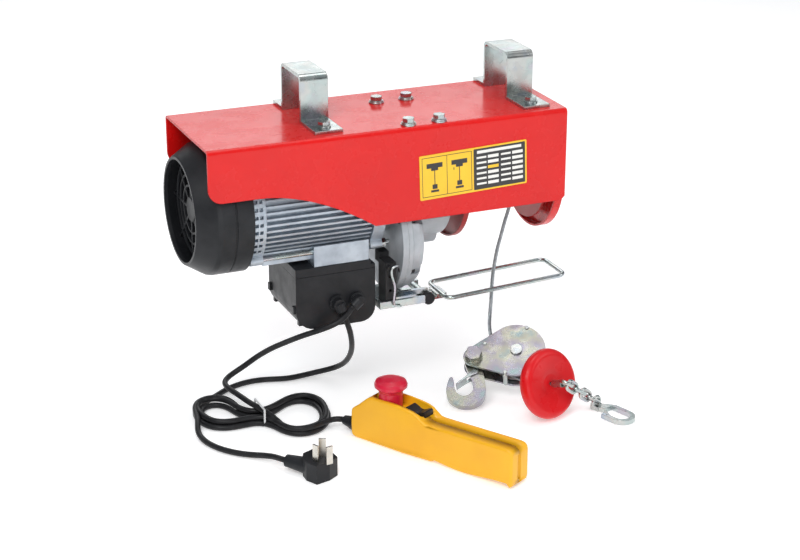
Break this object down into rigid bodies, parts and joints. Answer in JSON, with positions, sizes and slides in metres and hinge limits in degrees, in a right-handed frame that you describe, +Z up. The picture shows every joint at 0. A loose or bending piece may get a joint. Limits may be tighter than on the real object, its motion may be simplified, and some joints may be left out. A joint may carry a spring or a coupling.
{
  "type": "electric wire rope hoist",
  "caption": "Small electric wire rope hoist with red sheet housing, finned motor, gearbox, rope drum, limit loop, pulley block with hook, mains lead and yellow pendant.",
  "frame": {"origin": "Centre of the beam seat: midway between the two mounting brackets, on the underside of their crossbars.", "axes": "+X along the housing from the fan end to the drum end, -Y the side with the data plate, +Z up."},
  "size_m": [0.3921, 0.3344, 0.3157],
  "materials": {
    "red_paint": "gloss powder coat",
    "zinc_plate": "bright zinc plating with a faint blue and rainbow tint",
    "black_plastic": "satin black",
    "switch_white": "moulded",
    "aluminium": "as extruded and die cast",
    "cast_grey": "light grey painted casting",
    "steel": "machined",
    "copper": "enamelled copper wire",
    "capacitor_can": "drawn can",
    "black_screws": "black oxide",
    "wire_rope": "galvanised strands",
    "sheave_cast": "dark cast",
    "red_rubber": "gloss red",
    "cord_pvc": "satin black sheath",
    "tie_white": "white",
    "pin_brass": "plated",
    "pendant_yellow": "satin yellow",
    "red_button": "gloss red",
    "label_film": "printed film, no lettering"
  },
  "bodies": {
    "frame": {"housing": "red_paint", "mount_brackets": "zinc_plate", "housing_bolts": "zinc_plate", "data_plate": "label_film", "fan_cover": "black_plastic", "cover_screws": "zinc_plate", "rear_end_shield": "aluminium", "stator_housing": "aluminium", "stator_core": "steel", "windings": "copper", "bearings": "steel", "front_end_shield": "aluminium", "tie_bolts": "zinc_plate", "terminal_box": "black_plastic", "terminal_box_cover": "black_plastic", "capacitor": "capacitor_can", "cable_glands": "black_plastic", "gearbox_case": "cast_grey", "gearbox_cover": "cast_grey", "gearbox_screws": "black_screws", "drum_bulkhead": "red_paint", "end_plate": "red_paint", "limit_switch": "black_plastic", "limit_bracket": "zinc_plate", "limit_spring": "zinc_plate", "wire_rope": "wire_rope", "block_plates": "zinc_plate", "block_pins": "zinc_plate", "hook_bolt": "zinc_plate", "rope_thimble": "zinc_plate", "chain_links": "zinc_plate", "snap_hook": "zinc_plate", "mains_cord": "cord_pvc", "control_cord": "cord_pvc", "cord_hank": "cord_pvc", "hank_tie": "tie_white", "plug": "black_plastic", "plug_pins": "pin_brass", "pendant_shell_front": "pendant_yellow", "pendant_shell_back": "pendant_yellow", "pendant_gland": "black_plastic", "switch_blocks": "black_plastic"},
    "motor_rotor": {"rotor": "steel", "fan": "black_plastic"},
    "layshaft": {"layshaft_gear": "steel"},
    "drum_assembly": {"drum": "red_paint", "rope_on_drum": "wire_rope", "drum_gear": "steel", "drum_shaft": "steel"},
    "limit_arm": {"limit_lever": "zinc_plate", "limit_loop": "zinc_plate", "lever_knob": "black_plastic"},
    "plunger": {"switch_plunger": "switch_white"},
    "estop": {"estop_button": "red_button"},
    "rocker_switch": {"rocker": "black_plastic"},
    "sheave_body": {"sheave": "sheave_cast"},
    "hook_body": {"hook": "zinc_plate"},
    "latch_body": {"hook_latch": "zinc_plate"},
    "disc_body": {"stopper_disc": "red_rubber"},
    "snap_gate_body": {"snap_gate": "zinc_plate"}
  },
  "joints": [
    {"name": "drum_spin", "type": "hinge", "parent": "frame", "child": "drum_assembly", "pos_m": [0.0775, -0.012, -0.1155], "axis": [1, 0, 0], "continuous": true},
    {"name": "layshaft_spin", "type": "hinge", "parent": "frame", "child": "layshaft", "pos_m": [-0.0125, -0.02, -0.15978], "axis": [1, 0, 0], "continuous": true},
    {"name": "rotor_spin", "type": "hinge", "parent": "frame", "child": "motor_rotor", "pos_m": [-0.1125, -0.012, -0.1155], "axis": [1, 0, 0], "continuous": true},
    {"name": "limit_arm_swing", "type": "hinge", "parent": "frame", "child": "limit_arm", "pos_m": [-0.0025, -0.03, -0.2195], "axis": [0, -1, 0], "range_deg": [0, 8], "stiffness_Nm_per_rad": 2, "springref_deg": -6.88},
    {"name": "plunger_press", "type": "slide", "parent": "frame", "child": "plunger", "axis": [-1, 0, 0], "range_m": [0, 0.0012]},
    {"name": "estop_press", "type": "slide", "parent": "frame", "child": "estop", "axis": [0, 0, -1], "range_m": [0, 0.003]},
    {"name": "rocker_tilt", "type": "hinge", "parent": "frame", "child": "rocker_switch", "pos_m": [-0.06585, -0.18132, -0.28], "axis": [0.8746, 0.4848, 0], "range_deg": [-8, 8], "stiffness_Nm_per_rad": 0.05},
    {"name": "sheave_spin", "type": "hinge", "parent": "frame", "child": "sheave_body", "pos_m": [0.0712, -0.0993, -0.2743], "axis": [-0.2929, -0.4982, 0.8161], "continuous": true},
    {"name": "hook_swing", "type": "hinge", "parent": "frame", "child": "hook_body", "pos_m": [0.03281, -0.08608, -0.28001], "axis": [-0.2929, -0.4982, 0.8161], "range_deg": [-30, 15]},
    {"name": "latch_swing", "type": "hinge", "parent": "hook_body", "child": "latch_body", "pos_m": [0.02936, -0.0964, -0.28754], "axis": [-0.2929, -0.4982, 0.8161], "range_deg": [0, 25], "stiffness_Nm_per_rad": 0.02, "springref_deg": -11.46},
    {"name": "disc_turn", "type": "hinge", "parent": "frame", "child": "disc_body", "pos_m": [0.0745, -0.159, -0.2795], "axis": [0.3104, -0.8961, 0.3174], "continuous": true},
    {"name": "snap_gate_swing", "type": "hinge", "parent": "frame", "child": "snap_gate_body", "pos_m": [0.12386, -0.18761, -0.3102], "axis": [0, 0, -1], "range_deg": [0, 20], "stiffness_Nm_per_rad": 0.02, "springref_deg": -11.46}
  ],
  "couplings": [
    {"joint": "layshaft_spin", "follows": "drum_spin", "ratio": -4},
    {"joint": "rotor_spin", "follows": "drum_spin", "ratio": 32},
    {"joint": "plunger_press", "follows": "limit_arm_swing", "m_per_rad": 0.0082}
  ]
}
